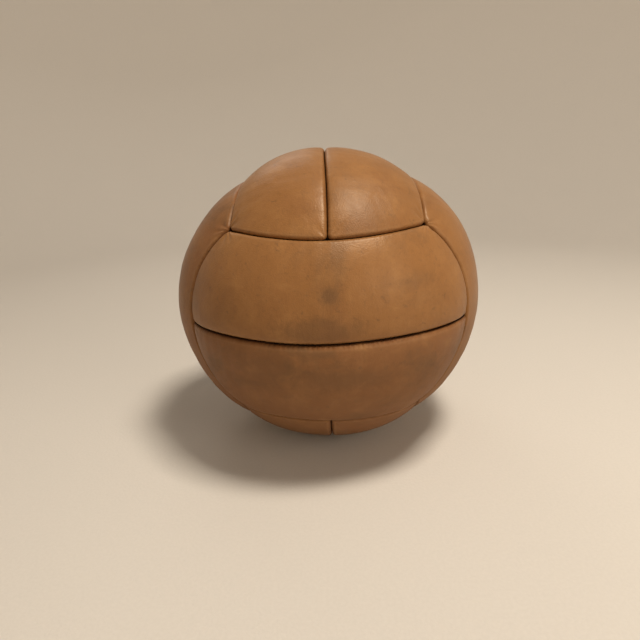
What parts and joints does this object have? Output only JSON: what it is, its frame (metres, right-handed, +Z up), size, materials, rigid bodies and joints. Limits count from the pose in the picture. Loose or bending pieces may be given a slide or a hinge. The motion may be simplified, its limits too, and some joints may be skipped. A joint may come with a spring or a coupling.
{
  "type": "leather medicine ball",
  "caption": "Heavy stuffed leather medicine ball of puffy hand-sewn panels, for throwing and catching exercises.",
  "frame": {"origin": "middle of the small flat that the ball rests on, at floor level, straight below the ball's centre", "axes": "+Z up; -Y towards the front face, whose mid seam lies level; +X to the front face's right"},
  "size_m": [0.3434, 0.3434, 0.3362],
  "materials": {
    "leather": "old vegetable-tanned hide, tan to red-brown, satin with stains, scuffs and dark seams",
    "canvas": "plain-woven cotton canvas",
    "thread": "waxed linen thread, dark with use",
    "hair": "felted animal hair"
  },
  "bodies": {
    "root": {"front_upper_panel": "leather", "front_lower_panel": "leather", "back_upper_panel": "leather", "back_lower_panel": "leather", "left_front_panel": "leather", "left_rear_panel": "leather", "right_front_panel": "leather", "right_rear_panel": "leather", "top_left_panel": "leather", "top_right_panel": "leather", "bottom_left_panel": "leather", "bottom_right_panel": "leather", "front_upper_lining": "canvas", "front_lower_lining": "canvas", "back_upper_lining": "canvas", "back_lower_lining": "canvas", "left_front_lining": "canvas", "left_rear_lining": "canvas", "right_front_lining": "canvas", "right_rear_lining": "canvas", "top_left_lining": "canvas", "top_right_lining": "canvas", "bottom_left_lining": "canvas", "bottom_right_lining": "canvas", "front_upper_edge_thread": "thread", "front_lower_edge_thread": "thread", "back_upper_edge_thread": "thread", "back_lower_edge_thread": "thread", "left_front_edge_thread": "thread", "left_rear_edge_thread": "thread", "right_front_edge_thread": "thread", "right_rear_edge_thread": "thread", "top_left_edge_thread": "thread", "top_right_edge_thread": "thread", "bottom_left_edge_thread": "thread", "bottom_right_edge_thread": "thread", "front_mid_thread": "thread", "back_mid_thread": "thread", "left_mid_thread": "thread", "right_mid_thread": "thread", "top_mid_thread": "thread", "bottom_mid_thread": "thread", "hair_stuffing": "hair"}
  },
  "joints": []
}
